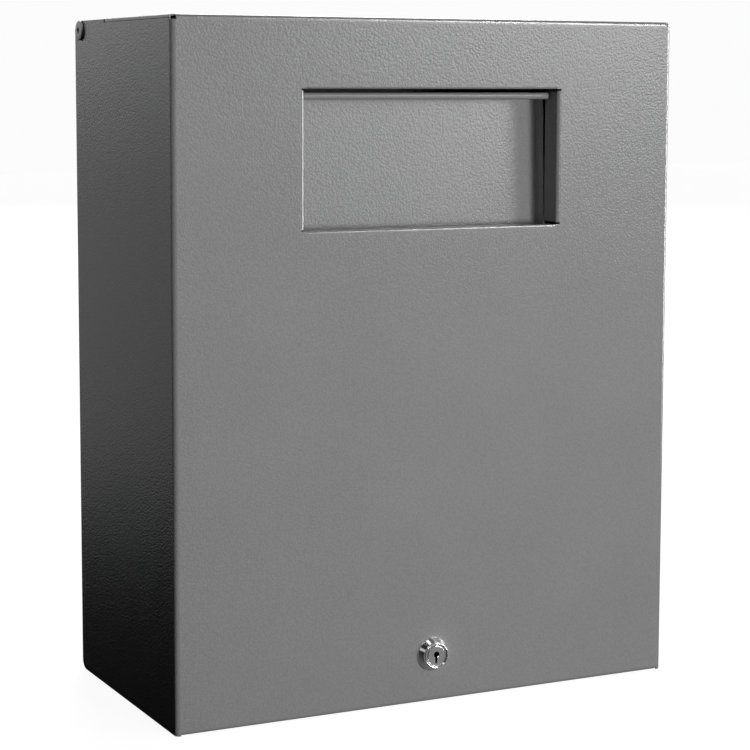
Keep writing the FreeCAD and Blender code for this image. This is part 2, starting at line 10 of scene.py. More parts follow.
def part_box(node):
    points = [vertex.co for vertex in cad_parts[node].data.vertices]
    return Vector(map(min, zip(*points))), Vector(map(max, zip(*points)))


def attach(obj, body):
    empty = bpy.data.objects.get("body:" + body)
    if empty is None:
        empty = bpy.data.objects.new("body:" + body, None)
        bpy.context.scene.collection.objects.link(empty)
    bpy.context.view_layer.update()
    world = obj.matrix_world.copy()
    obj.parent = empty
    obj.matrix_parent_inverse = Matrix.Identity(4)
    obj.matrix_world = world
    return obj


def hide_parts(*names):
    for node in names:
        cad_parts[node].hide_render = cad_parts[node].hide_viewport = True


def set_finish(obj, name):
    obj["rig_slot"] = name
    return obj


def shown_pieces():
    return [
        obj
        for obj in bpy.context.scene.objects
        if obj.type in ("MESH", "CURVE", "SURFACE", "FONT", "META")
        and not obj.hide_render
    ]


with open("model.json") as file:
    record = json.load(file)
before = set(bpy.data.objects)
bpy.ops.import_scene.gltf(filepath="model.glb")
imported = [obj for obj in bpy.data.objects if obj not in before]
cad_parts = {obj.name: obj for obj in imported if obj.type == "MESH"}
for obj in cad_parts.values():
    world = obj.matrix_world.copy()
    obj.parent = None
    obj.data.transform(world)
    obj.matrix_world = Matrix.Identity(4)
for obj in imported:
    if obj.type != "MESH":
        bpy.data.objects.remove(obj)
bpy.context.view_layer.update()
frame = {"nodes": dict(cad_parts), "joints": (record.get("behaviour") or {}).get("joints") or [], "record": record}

nodes = frame["nodes"]
joints = {joint["name"]: np.array(joint["pos_m"]) * 1000 for joint in frame["joints"]}
metre = 0.001           # shapes are worked out in millimetres and made in metres
weldDistance = 0.004    # points nearer to each other than this become one
sharpAngle = 38         # degrees between two faces from which their edge shades sharp
bevelAngle = 40         # degrees between two faces from which the bevel rounds their edge


def cornersOf(node):
    low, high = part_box(node)
    return np.array(low) * 1000, np.array(high) * 1000


coverLow, coverHigh = cornersOf("cover_shell")
halfWidth = coverHigh[0]
frontY = joints["lock_turn"][1]
print("frame loaded:", len(nodes), "nodes")


# meshes from grids of points

def stopLines(stops, step):
    # Grid lines through every stop, with even lines between them no further apart than step.
    runs = []
    for start, end in zip(stops, stops[1:]):
        count = max(1, math.ceil(abs(end - start) / step - 1e-6))
        runs.append(np.linspace(start, end, count, endpoint=False))
    return np.append(np.concatenate(runs), stops[-1])


def arcPoints(centre, radius, startDegrees, endDegrees, count):
    # Points at centre + radius * (cos a, sin a), a running evenly between the two angles.
    angle = np.radians(np.linspace(startDegrees, endDegrees, count + 1))
    return np.stack([centre[0] + radius * np.cos(angle), centre[1] + radius * np.sin(angle)], axis=1)


def gridAlongX(profile, lineX):
    # A (y, z) profile carried along X: the point at row i, column j is (x_j, y_i, z_i).
    points = np.empty((len(profile), len(lineX), 3))
    points[..., 0] = lineX
    points[..., 1:] = profile[:, None]
    return points


def gridAlongY(section, lineY):
    # An (x, z) section carried along Y: the point at row i, column j is (x_j, y_i, z_j).
    points = np.empty((len(lineY), len(section), 3))
    points[..., 0], points[..., 2] = section[:, 0], section[:, 1]
    points[..., 1] = lineY[:, None]
    return points


def gridAlongZ(plan, lineZ):
    # An (x, y) plan carried up Z: the point at row i, column j is (x_j, y_j, z_i).
    points = np.empty((len(lineZ), len(plan), 3))
    points[..., :2] = plan
    points[..., 2] = lineZ[:, None]
    return points


def turnedAboutX(places, axis, angle):
    # Rotation in the YZ plane about the axis: y' = y cos - z sin, z' = y sin + z cos.
    y, z = places[:, 1] - axis[0], places[:, 2] - axis[1]
    turned = places.copy()
    turned[:, 1] = axis[0] + y * math.cos(angle) - z * math.sin(angle)
    turned[:, 2] = axis[1] + y * math.sin(angle) + z * math.cos(angle)
    return turned


def patchOf(points, facing=None, keep=None, closed=False):
    # Quads between neighbours of a (rows, columns, 3) grid. keep drops cells, closed joins the last
    # column to the first, and facing is the way the faces look, taken as a whole.
    rows, columns = points.shape[:2]
    index = np.arange(rows * columns).reshape(rows, columns)
    if closed:
        index = np.concatenate([index, index[:, :1]], axis=1)
    quads = np.stack([index[:-1, :-1], index[:-1, 1:], index[1:, 1:], index[1:, :-1]], axis=-1)
    quads = quads.reshape(-1, 4) if keep is None else quads[keep]
    places = points.reshape(-1, 3)
    if facing is not None:
        corner = places[quads]
        area = np.cross(corner[:, 2] - corner[:, 0], corner[:, 3] - corner[:, 1]).sum(axis=0)
        if area @ np.array(facing) < 0:
            quads = quads[:, ::-1]
    return places, quads


def makePiece(name, patches, body, slot, replaced, sheet=0.0, edge=0.0, closed=False):
    # Welds the patches into one mesh. A sheet gets its thickness on the side its faces look away
    # from, and edge rounds its cut edges.
    places = np.concatenate([patch[0] for patch in patches])
    starts = np.cumsum([0] + [len(patch[0]) for patch in patches[:-1]])
    quads = np.concatenate([patch[1] + start for patch, start in zip(patches, starts)])
    mesh = bpy.data.meshes.new(name)
    mesh.from_pydata((places * metre).tolist(), [], quads.tolist())
    work = bmesh.new()
    work.from_mesh(mesh)
    bmesh.ops.remove_doubles(work, verts=work.verts, dist=weldDistance * metre)
    bmesh.ops.dissolve_degenerate(work, edges=work.edges, dist=weldDistance * metre)
    loose = [vert for vert in work.verts if not vert.link_faces]
    bmesh.ops.delete(work, geom=loose, context="VERTS")
    if closed:
        bmesh.ops.recalc_face_normals(work, faces=work.faces)
    work.to_mesh(mesh)
    work.free()
    mesh.shade_smooth()
    mesh.set_sharp_from_angle(angle=math.radians(sharpAngle))
    piece = bpy.data.objects.new(name, mesh)
    bpy.context.scene.collection.objects.link(piece)
    if sheet:
        wall = piece.modifiers.new("sheet", "SOLIDIFY")
        wall.thickness = sheet * metre
        wall.offset = -1
    if edge:
        softEdges(piece, edge)
    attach(piece, body)
    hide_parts(*replaced)
    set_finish(piece, slot)
    return piece


def softEdges(piece, width, segments=2):
    bevel = piece.modifiers.new("edges", "BEVEL")
    bevel.width = width * metre
    bevel.segments = segments
    bevel.limit_method = "ANGLE"
    bevel.angle_limit = math.radians(bevelAngle)
    bevel.use_clamp_overlap = False
    normals = piece.modifiers.new("normals", "WEIGHTED_NORMAL")
    normals.keep_sharp = True


def holeIn(grid, rowRange, columnRange, centre, radius, facing, flat=None, rings=3):
    # Rings of faces from a square block of left-out cells to a round hole: every boundary point
    # moves in along its own ray from the centre. flat = (axis, distance) cuts two flats on the hole.
    top, bottom = rowRange
    left, right = columnRange
    loop = np.concatenate([grid[top, left:right], grid[top:bottom, right],
                           grid[bottom, right:left:-1], grid[bottom:top:-1, left]])
    ray = loop - centre
    hole = centre + ray * (radius / np.linalg.norm(ray, axis=1))[:, None]
    if flat:
        axis, distance = flat
        hole[:, axis] = np.clip(hole[:, axis], centre[axis] - distance, centre[axis] + distance)
    share = np.linspace(0, 1, rings + 1)[:, None, None]
    return patchOf(loop * (1 - share) + hole * share, facing, closed=True)


def linesBetween(lines, low, high):
    # First and last index of the lines that lie from low to high.
    found = np.flatnonzero((lines > low - weldDistance) & (lines < high + weldDistance))
    return found[0], found[-1]


# cover: one folded sheet with the mouth's returns

cover = {
    "sheet": 1.2,
    "bend": 3.2,            # outside radius of the upright, top and foot bends
    "relief": 3.6,          # notch where the three top bends meet
    "topDepth": 122.0,
    "topEdge": 1.5,         # rounding of the top's side edges
    "seam": 2.0,
    "lap": 2.5,             # lap line below the top
    "lapGap": 0.05,
    "sideDrop": 0.3,
    "rearRadius": 7.0,
    "footReturn": 12.0,
    "edge": 0.22,           # rounding of the sheet's cut edges
    "step": 14.0,           # widest spacing of grid lines
    "lockStep": 1.5,        # the same near the lock, and near the pivots
    "pivotStep": 0.9,
    "bendRows": 8,
    "topEdgeRows": 5,
    "bushRadius": 4.05,
    "lockRadius": 9.5,
    "lockFlat": 8.1,
    "lockBlock": 12.0,      # half of the square left out round the lock's hole
}
mouth = {
    "half": 93.75,
    "sill": 320.3,
    "head": 411.4,
    "sideBend": 2.4,
    "edgeBend": 1.5,
    "sideReturn": 16.7,
    "sillReturn": 12.0,
    "headReturn": 8.0,
    "gap": 1.2,             # returns stop this far short of the mouth's corners
    "rodHole": 1.25,
    "rodBlock": 2.2,        # half of the square left out round the rod's hole
    "rodStep": 0.6,
    "edgeRows": 5,
    "sideRows": 6,
}


flatHalf = halfWidth - cover["bend"]
foldHalf = halfWidth - cover["relief"]
openHalf = mouth["half"] + mouth["sideBend"]
levelHalf = mouth["half"] - mouth["gap"]
floorZ, topZ, rearY = coverLow[2], coverHigh[2], coverHigh[1]
seamY = frontY + cover["topDepth"]
lapZ = topZ - cover["lap"]
frontX = stopLines([flatHalf, foldHalf, openHalf, levelHalf, cover["lockBlock"]], cover["step"])
nearLock = stopLines([cover["lockBlock"], -cover["lockBlock"]], cover["lockStep"])
frontX = np.concatenate([frontX[:-1], nearLock, -frontX[-2::-1]])


def makeWrap():
    # Upright wrap: the plan outline (side, bend, front, bend, side) carried up along Z.
    lockAxis, pivot = joints["lock_turn"], joints["cover_swing"]
    bend, corner, block, step = (cover[key] for key in ("bend", "rearRadius", "lockBlock", "step"))
    stripY = seamY + cover["seam"]
    sideTopZ = topZ - cover["sideDrop"]
    frontTopZ = topZ - bend
    pivotBlock = rearY - corner - pivot[1]
    sillCut = mouth["sill"] - mouth["edgeBend"]
    headCut = mouth["head"] + mouth["edgeBend"]
    roundOff = rearY - corner + corner * np.sin(np.radians(np.linspace(90, 0, cover["bendRows"] + 1)))
    sideY = np.concatenate([
        roundOff[:-1],
        stopLines([pivot[1] + pivotBlock, pivot[1] - pivotBlock], cover["pivotStep"])[:-1],
        stopLines([pivot[1] - pivotBlock, stripY, seamY, frontY + bend], step)])
    rightSide = np.stack([np.full(len(sideY), halfWidth), sideY], axis=1)
    bendArc = arcPoints((flatHalf, frontY + bend), bend, 0, -90, cover["bendRows"])
    front = np.stack([frontX, np.full(len(frontX), frontY)], axis=1)
    half = np.concatenate([rightSide[:-1], bendArc[:-1]])
    plan = np.concatenate([half, front, half[::-1] * (-1, 1)])
    lineZ = np.concatenate([
        stopLines([floorZ, floorZ + bend, floorZ + corner, lockAxis[2] - block], step)[:-1],
        stopLines([lockAxis[2] - block, lockAxis[2] + block], cover["lockStep"])[:-1],
        stopLines([lockAxis[2] + block, sillCut, mouth["sill"], mouth["head"], headCut,
                   pivot[2] - pivotBlock], step)[:-1],
        stopLines([pivot[2] - pivotBlock, frontTopZ, lapZ, sideTopZ], cover["pivotStep"])])
    grid = gridAlongZ(plan, lineZ)

    # Rear corners: near the rear edge the heights shrink to a quarter circle's, top and bottom.
    intoCorner = np.clip(plan[:, 1] - (rearY - corner), 0, corner)
    cut = corner - np.sqrt(corner ** 2 - intoCorner ** 2)
    upper = np.clip((lineZ - (sideTopZ - 2 * corner)) / (2 * corner), 0, 1)
    lower = np.clip((floorZ + 2 * corner - lineZ) / (2 * corner), 0, 1)
    grid[..., 2] = grid[..., 2] - upper[:, None] * cut + lower[:, None] * cut

    # Cells left out: the mouth, the bends at the foot and the top, the lap, and the holes' squares.
    middle = (grid[:-1, :-1] + grid[1:, 1:]) / 2
    cellX, cellY, cellZ = np.abs(middle[..., 0]), middle[..., 1], (lineZ[:-1] + lineZ[1:])[:, None] / 2
    isFront = cellY < frontY + weldDistance
    keep = ~(isFront & (cellX < openHalf) & (cellZ > mouth["sill"]) & (cellZ < mouth["head"]))
    keep &= ~(isFront & (cellX < levelHalf) & (cellZ > sillCut) & (cellZ < headCut))
    keep &= ~((cellX < foldHalf) & isFront & (cellZ < floorZ + bend))
    keep &= ~((cellY < frontY + bend) & (cellZ > frontTopZ))
    keep &= ~((cellY < stripY) & (cellZ > lapZ))
    keep &= ~(isFront & (cellX < block) & (np.abs(cellZ - lockAxis[2]) < block))
    inPivot = (np.abs(cellY - pivot[1]) < pivotBlock) & (np.abs(cellZ - pivot[2]) < pivotBlock)
    keep &= ~(inPivot & (cellX > flatHalf))
    patches = [patchOf(grid, (0, -1, 0), keep)]

    # Lock hole in the front and a bush hole in each side.
    rows = linesBetween(lineZ, lockAxis[2] - block, lockAxis[2] + block)
    isSide = plan[:, 1] > frontY + weldDistance
    columns = linesBetween(np.where(isSide, np.inf, -plan[:, 0]), -block, block)
    patches.append(holeIn(grid, rows, columns, np.array([0, frontY, lockAxis[2]]), cover["lockRadius"],
                          (0, -1, 0), (0, cover["lockFlat"])))
    rows = linesBetween(lineZ, pivot[2] - pivotBlock, pivot[2] + pivotBlock)
    first, last = linesBetween(sideY, pivot[1] - pivotBlock, pivot[1] + pivotBlock)
    for side, columns in ((1, (first, last)), (-1, (len(plan) - 1 - last, len(plan) - 1 - first))):
        patches.append(holeIn(grid, rows, columns, np.array([side * halfWidth, pivot[1], pivot[2]]),
                              cover["bushRadius"], (side, 0, 0)))
    return patches


def makeFolds():
    # Top fold, the flange along the foot, and the top panel with its rounded side edges.
    bend, edge = cover["bend"], cover["topEdge"]
    foldX = frontX[np.abs(frontX) < foldHalf + weldDistance]
    fold = arcPoints((frontY + bend, topZ - bend), bend, 180, 90, cover["bendRows"])
    foot = np.concatenate([arcPoints((frontY + bend, floorZ + bend), bend, 180, 270, cover["bendRows"]),
                           [[frontY + cover["footReturn"], floorZ]]])
    edgeArc = arcPoints((halfWidth - edge, topZ - edge), edge, 0, 90, cover["topEdgeRows"])
    edgeArc = np.concatenate([[[halfWidth, lapZ + cover["lapGap"]]], edgeArc])
    across = np.concatenate([edgeArc, np.stack([foldX, np.full(len(foldX), topZ)], axis=1),
                             edgeArc[::-1] * (-1, 1)])
    topY = stopLines([frontY + bend, seamY], cover["step"])
    return [patchOf(gridAlongX(fold, foldX), (0, -1, 1)), patchOf(gridAlongX(foot, foldX), (0, -1, -1)),
            patchOf(gridAlongY(across, topY), (0, 0, 1))]


def makeReturns():
    # Returns of the mouth: sill and head along X, the uprights along Z with the rod's holes.
    rod = joints["flap_swing"]
    half, edge, bend, block = (mouth[key] for key in ("half", "edgeBend", "sideBend", "rodBlock"))
    levelX = frontX[np.abs(frontX) < levelHalf + weldDistance]
    patches = []
    for z, way, depth in ((mouth["sill"], -1, mouth["sillReturn"]), (mouth["head"], 1, mouth["headReturn"])):
        arc = arcPoints((frontY + edge, z + way * edge), edge, 180, 180 + way * 90, mouth["edgeRows"])
        profile = np.concatenate([arc, [[frontY + depth, z]]])
        patches.append(patchOf(gridAlongX(profile, levelX), (0, -1, -way)))
    uprightZ = np.concatenate([
        stopLines([mouth["sill"] + mouth["gap"], rod[2] - block], cover["step"])[:-1],
        stopLines([rod[2] - block, rod[2] + block], mouth["rodStep"])[:-1],
        [rod[2] + block, mouth["head"] - mouth["gap"]]])
    arc = arcPoints((half + bend, frontY + bend), bend, 270, 180, mouth["sideRows"])
    flatY = np.concatenate([stopLines([rod[1] - block, rod[1] + block], mouth["rodStep"])[:-1],
                            [rod[1] + block, frontY + mouth["sideReturn"]]])
    path = np.concatenate([arc, np.stack([np.full(len(flatY), half), flatY], axis=1)])
    rows = linesBetween(uprightZ, rod[2] - block, rod[2] + block)
    columns = linesBetween(path[:, 1], rod[1] - block, rod[1] + block)
    keep = np.ones((len(uprightZ) - 1, len(path) - 1), bool)
    keep[rows[0]:rows[1], columns[0]:columns[1]] = False
    for side in (-1, 1):
        upright = gridAlongZ(path * (side, 1), uprightZ)
        patches.append(patchOf(upright, (-side, -1, 0), keep))
        patches.append(holeIn(upright, rows, columns, np.array([side * half, rod[1], rod[2]]),
                              mouth["rodHole"], (-side, 0, 0)))
    return patches


def makeCover():
    return makePiece("cover_sheet", makeWrap() + makeFolds() + makeReturns(), "cover", "powder_coat",
                     ["cover_shell"], cover["sheet"], cover["edge"])


# deposit flap: face, curl round the rod, side flanges and foot flange

flap = {
    "sheet": 1.0,
    "bend": 3.5,            # outside radius of its bends
    "lean": 1.9,            # degrees
    "sideWidth": 12.2,
    "belowSill": 11.0,
    "footReturn": 8.0,
    "stopGap": 0.3,
    "curl": 2.25,
    "curlEnd": 338,         # degrees round the rod where the curl's free edge is
    "half": 94.35,
    "curlHalf": 93.25,
    "edge": 0.2,
    "step": 12.0,
    "curlRows": 26,
    "bendRows": 8,
    "footRows": 7,
}


def makeFlap():
    rodY, rodZ = joints["flap_swing"][1:]
    bend, thin = flap["bend"], flap["sheet"]
    lean = math.radians(flap["lean"])
    standOff = frontY + mouth["sideReturn"] + flap["stopGap"] - rodY
    sideY = rodY + (standOff + (rodZ - mouth["sill"]) * math.sin(lean)) / math.cos(lean)
    backY = sideY + flap["sideWidth"] + thin
    curlTopZ = rodZ + flap["curl"]
    footZ = mouth["sill"] - flap["belowSill"]
    footBend = bend - thin
    middle = flap["half"] - bend
    faceZ = stopLines([curlTopZ - bend, footZ + bend, footZ + footBend], flap["step"])
    profile = np.concatenate([
        arcPoints((rodY, rodZ), flap["curl"], flap["curlEnd"], 90, flap["curlRows"]),
        arcPoints((backY - bend, curlTopZ - bend), bend, 90, 0, flap["bendRows"])[:-1],
        np.stack([np.full(len(faceZ), backY), faceZ], axis=1)[:-1],
        arcPoints((backY + footBend, footZ + footBend), footBend, 180, 270, flap["footRows"]),
        [[backY + flap["footReturn"], footZ]]])
    lineX = stopLines([-flap["curlHalf"], -middle, middle, flap["curlHalf"]], flap["step"])
    inCurl = (np.arange(len(profile) - 1) < flap["curlRows"])[:, None]
    inMiddle = (np.abs(lineX[:-1] + lineX[1:]) / 2 < middle)[None]
    patches = [patchOf(gridAlongX(profile, lineX), (0, 1, 0.3), inCurl | inMiddle)]
    sideBend = arcPoints((middle, backY - bend), bend, 90, 0, flap["bendRows"])
    path = np.concatenate([sideBend, [[flap["half"], sideY]]])
    rowZ = faceZ[faceZ > footZ + bend - weldDistance]
    for side in (-1, 1):
        patches.append(patchOf(gridAlongZ(path * (side, 1), rowZ), (side, 1, 0)))
    leaned = [(turnedAboutX(places, (rodY, rodZ), -lean), quads) for places, quads in patches]
    return makePiece("deposit_flap_sheet", leaned, "flap", "powder_coat", ["deposit_flap"],
                     thin, flap["edge"])


# turned pieces: the lock's barrel and plug, and the pivot screws

lock = {
    "bore": 6.75,
    "barrel": 9.4,
    "flatHalf": 8.0,
    "length": 15.0,
    "pitch": 1.0,
    "threadDepth": 0.2,
    "collar": 11.4,
    "collarEdge": 1.3,
    "collarLand": 1.3,      # straight part behind the front ring
    "front": 6.9,           # how far the front ring stands out from the panel
    "ring": 8.7,
    "groove": 7.7,
    "grooveDepth": 0.9,
    "plain": 1.0,           # length of barrel behind the panel's face that has no thread
    "endChamfer": 0.5,
    "threadRows": 150,
    "threadStart": 0.02,
    "columns": 96,
}
plug = {
    "radius": 6.7,
    "setback": 0.5,         # face behind the collar's front ring
    "rim": 0.4,             # rounding of the face's edge
    "rearY": 15.3,
    "tailHalf": 3.0,
    "tailY": 18.8,
    "screwHole": 2.0,
    "screwDepth": 6.0,
    "holeRise": 0.9,
    "holeRadius": 1.8,
    "slotHalf": 1.0,        # at the keyhole's centre, narrowing to tipHalf
    "tipHalf": 0.5,
    "tipReach": 6.1,
    "chamfer": 0.3,
    "depth": 12.0,
    "shade": 0.7,           # the keyhole is painted nearly black from this deep: painted shade for the dark keyway
    "lean": 4.0,            # degrees the slot leans from upright
    "ringPitch": 0.85,      # of the faint turned rings on the face
    "ringDepth": 0.006,
    "ringFade": 12,         # the rings fade out over a twelfth of the face at each edge
    "openStep": 3.5,        # degrees between rays, then the same beside and across the slot
    "slotStep": 1.2,
    "tipStep": 1.6,
    "slotSpan": 30,
    "faceRows": 40,
    "rimRows": 5,
}
screw = {
    "seat": 184.35,
    "shank": 3.0,
    "shankEnd": -12.1,
    "radius": 6.7,
    "rim": 1.0,             # height of the head's edge
    "crown": 3.3,           # radius of the flat round the socket
    "height": 1.6,
    "socketFlats": 4.0,
    "socketDepth": 2.0,
    "socketLead": 0.15,
    "shankChamfer": 0.4,
    "seatEdge": 0.1,
    "domeRows": 12,
    "columns": 96,
}


def roundedCorners(rows, count=4):
    # Rows of (r, d, size) are the corners of a closed outline. Each corner b becomes the curve
    # (1-t)^2 a + 2t(1-t) b + t^2 c, where a and c lie on the two edges that meet there, one size away
    # from b or halfway along a shorter edge.
    corners, sizes = np.array(rows)[:, :2], np.array(rows)[:, 2:]
    ends = []
    for shift in (1, -1):
        edge = np.roll(corners, shift, axis=0) - corners
        length = np.linalg.norm(edge, axis=1, keepdims=True)
        ends.append((corners + edge * np.minimum(sizes / length, 0.5))[:, None])
    t = np.linspace(0, 1, count + 1)[None, :, None]
    return ((1 - t) ** 2 * ends[0] + 2 * t * (1 - t) * corners[:, None] + t ** 2 * ends[1]).reshape(-1, 2)


def makeBarrel():
    # Outline (r, d), d behind the panel's face, turned about the lock's axis: the point at angle a is
    # (r cos a, d, r sin a). The thread is r - depth (1 + cos(2 pi d / pitch - a)) / 2.
    axis = joints["lock_turn"]
    front, land = -lock["front"], lock["collarLand"] - lock["front"]
    outline = roundedCorners([
        (lock["bore"], lock["length"], 0.3), (lock["bore"], front + lock["grooveDepth"], 0.15),
        (lock["groove"], front + lock["grooveDepth"], 0.1), (lock["groove"], front, 0.4),
        (lock["ring"], front, 0.4), (lock["ring"], land, 0.7),
        (lock["collar"], -lock["collarEdge"], 0.5), (lock["collar"], 0, 0.12)])
    threadD = np.linspace(lock["threadStart"], lock["length"] - lock["endChamfer"], lock["threadRows"])
    thread = np.stack([np.full(len(threadD), lock["barrel"]), threadD], axis=1)
    end = [(lock["barrel"] - lock["endChamfer"], lock["length"])]
    outline = np.concatenate([outline, [(lock["barrel"], 0)], thread, end])
    angle = np.linspace(0, 2 * np.pi, lock["columns"], endpoint=False)
    reach = np.repeat(outline[:, :1], len(angle), axis=1)
    behind = outline[:, 1:]
    cut = lock["threadDepth"] * (1 + np.cos(2 * np.pi * behind / lock["pitch"] - angle)) / 2
    isThread = (behind > lock["plain"]) & (outline[:, :1] > lock["barrel"] - weldDistance)
    reach -= np.where(isThread, cut, 0)
    points = np.empty((len(outline), len(angle), 3))
    points[..., 0] = reach * np.cos(angle)
    flat = np.where(behind > weldDistance, lock["flatHalf"], np.inf)
    points[..., 0] = np.clip(points[..., 0], -flat, flat)
    points[..., 1] = axis[1] + behind
    points[..., 2] = axis[2] + reach * np.sin(angle)
    points = np.concatenate([points, points[:1]])
    return makePiece("lock_collar", [patchOf(points, closed=True)], "cover", "lock_chrome",
                     ["lock_barrel"], closed=True)


def makePlug():
    # Rays run from the keyhole's centre at angle a off the slot's own direction. Along a ray the
    # keyhole ends at K(a), the greater of its radius and the slot's min(w / (sin a + k cos a),
    # tip / cos a), and the face ends at the circle round the plug's axis.
    axis = joints["lock_turn"]
    lean = math.radians(plug["lean"])
    down = np.array([-math.sin(lean), -math.cos(lean)])
    across = np.array([math.cos(lean), -math.sin(lean)])
    centre = -plug["holeRise"] * down
    corner = np.radians([45, 135, 225, 315])
    toCorner = plug["radius"] * np.stack([np.cos(corner), np.sin(corner)], axis=1) - centre
    cornerAngles = np.degrees(np.arctan2(toCorner @ across, toCorner @ down))
    tipAngle = math.degrees(math.atan2(plug["tipHalf"], plug["tipReach"]))
    span, openStep, slotStep = plug["slotSpan"], plug["openStep"], plug["slotStep"]
    angle = np.concatenate([
        stopLines([-180, -span], openStep), stopLines([-span, -tipAngle], slotStep),
        stopLines([-tipAngle, tipAngle], plug["tipStep"]), stopLines([tipAngle, span], slotStep),
        stopLines([span, 180], openStep)[:-1], cornerAngles])
    angle = np.radians(np.unique(np.round(angle, 3)))
    ray = down * np.cos(angle)[:, None] + across * np.sin(angle)[:, None]
    taper = (plug["slotHalf"] - plug["tipHalf"]) / plug["tipReach"]
    cosine = np.maximum(np.cos(angle), 1e-3)
    side = plug["slotHalf"] / (np.abs(np.sin(angle)) + taper * cosine)
    slot = np.where(np.cos(angle) > 0, np.minimum(side, plug["tipReach"] / cosine), 0)
    hole = np.maximum(plug["holeRadius"], slot)
    inner = plug["radius"] - plug["rim"]
    along = -ray @ centre
    face = along + np.sqrt(along ** 2 - centre @ centre + inner ** 2)
    faceY = plug["setback"] - lock["front"]
    mouthEdge = hole + plug["chamfer"]
    share = np.linspace(0, 1, plug["faceRows"] + 1)[:, None]
    facePlaces = centre + ray * (mouthEdge + (face - mouthEdge) * share)[..., None]
    fromAxis = np.linalg.norm(facePlaces, axis=-1)
    ripple = plug["ringDepth"] * (1 - np.cos(2 * np.pi * fromAxis / plug["ringPitch"]))
    ripple = ripple * np.minimum(1, np.minimum(share, 1 - share) * plug["ringFade"])
    spoke = facePlaces[-1] / inner
    turn = np.arctan2(spoke[:, 1], spoke[:, 0])
    square = plug["tailHalf"] / np.maximum(np.abs(np.cos(turn)), np.abs(np.sin(turn)))
    rimTurn = np.radians(np.linspace(0, 90, plug["rimRows"] + 1))[1:, None]
    rimReach = inner + plug["rim"] * np.sin(rimTurn)
    rows = [(centre + ray * 0, faceY + plug["depth"]), (centre + ray * hole[:, None], faceY + plug["depth"]),
            (centre + ray * hole[:, None], faceY + plug["shade"]),
            (centre + ray * hole[:, None], faceY + plug["chamfer"])]
    rows += [(places, faceY + lift) for places, lift in zip(facePlaces, ripple)]
    rows += [(spoke * reach, faceY + plug["rim"] * (1 - math.cos(step)))
             for reach, step in zip(rimReach, rimTurn[:, 0])]
    rows += [(spoke * plug["radius"], plug["rearY"]), (spoke * square[:, None], plug["rearY"]),
             (spoke * square[:, None], plug["tailY"]), (spoke * plug["screwHole"], plug["tailY"]),
             (spoke * plug["screwHole"], plug["tailY"] - plug["screwDepth"]),
             (spoke * 0, plug["tailY"] - plug["screwDepth"])]
    points = np.empty((len(rows), len(angle), 3))
    for row, (places, depth) in enumerate(rows):
        points[row, :, 0] = places[:, 0]
        points[row, :, 1] = axis[1] + depth
        points[row, :, 2] = axis[2] + places[:, 1]
    piece = makePiece("lock_plug_face", [patchOf(points, closed=True)], "lock_core", "lock_chrome",
                      ["lock_plug"], closed=True)
    vertices = np.empty(len(piece.data.vertices) * 3)
    piece.data.vertices.foreach_get("co", vertices)
    offset = vertices.reshape(-1, 3) / metre - (0, axis[1] + faceY, axis[2])
    slack = 0.05
    # Painted shade: keyhole points from the shade depth down to its floor are marked, and the finish colours them
    # nearly black in place of the keyway's shadow.
    grime = (offset[:, 1] > plug["shade"] - slack) & (offset[:, 1] < plug["depth"] + slack)
    grime &= np.hypot(offset[:, 0], offset[:, 2]) < inner
    piece.data.attributes.new("grime", "FLOAT", "POINT").data.foreach_set("value", grime.astype(float))
    return piece


def makeScrews():
    # Outline (r, h), h out from the head's seat, turned about the pivot: the point at angle a is
    # (h, r cos a, r sin a). The dome is a quarter of an ellipse, r = crown + width cos t and
    # h = rim + rise sin t, and the socket is the hexagon r = flats / 2 / cos(a mod 60 - 30).
    pivot = joints["cover_swing"]
    turn = np.radians(np.linspace(0, 90, screw["domeRows"] + 1))
    width, rise = screw["radius"] - screw["crown"], screw["height"] - screw["rim"]
    dome = np.stack([screw["crown"] + width * np.cos(turn), screw["rim"] + rise * np.sin(turn)], axis=1)
    shank, chamfer, seatEdge = screw["shank"], screw["shankChamfer"], screw["seatEdge"]
    lower = [(0, screw["shankEnd"]), (shank - chamfer, screw["shankEnd"]),
             (shank, screw["shankEnd"] + chamfer), (shank, 0), (screw["radius"] - seatEdge, 0),
             (screw["radius"], seatEdge)]
    outline = np.concatenate([lower, dome])
    angle = np.linspace(0, 2 * np.pi, screw["columns"], endpoint=False)
    hexagon = screw["socketFlats"] / 2 / np.cos(angle % (np.pi / 3) - np.pi / 6)
    floor = screw["height"] - screw["socketDepth"]
    lead = screw["socketLead"]
    reach = np.concatenate([np.repeat(outline[:, :1], len(angle), axis=1),
                            [hexagon + lead, hexagon, hexagon, hexagon * 0]])
    height = np.concatenate([outline[:, 1], [screw["height"], screw["height"] - lead, floor, floor]])
    patches = []
    for side in (-1, 1):
        points = np.empty((*reach.shape, 3))
        points[..., 0] = side * (screw["seat"] + height[:, None])
        points[..., 1] = pivot[1] + reach * np.cos(angle)
        points[..., 2] = pivot[2] + reach * np.sin(angle)
        patches.append(patchOf(points, closed=True))
    return makePiece("pivot_screw_heads", patches, "back_box", "pivot_steel", ["pivot_screws"], closed=True)


makeCover()
makeFlap()
print("cover and flap made")
makeBarrel()
makePlug()
makeScrews()
print("lock and pivot screws made")


# shader groups shared by the finishes

def addNodes(tree, **kinds):
    return {name: tree.nodes.new(kind) for name, kind in kinds.items()}


def makeGroup(name, inputs, outputs):
    group = bpy.data.node_groups.new(name, "ShaderNodeTree")
    for label, kind, value in inputs:
        socket = group.interface.new_socket(label, in_out="INPUT", socket_type=kind)
        if value is not None:
            socket.default_value = value
    for label in outputs:
        group.interface.new_socket(label, in_out="OUTPUT", socket_type="NodeSocketFloat")
    ends = addNodes(group, start="NodeGroupInput", end="NodeGroupOutput")
    return group, ends["start"].outputs, ends["end"].inputs


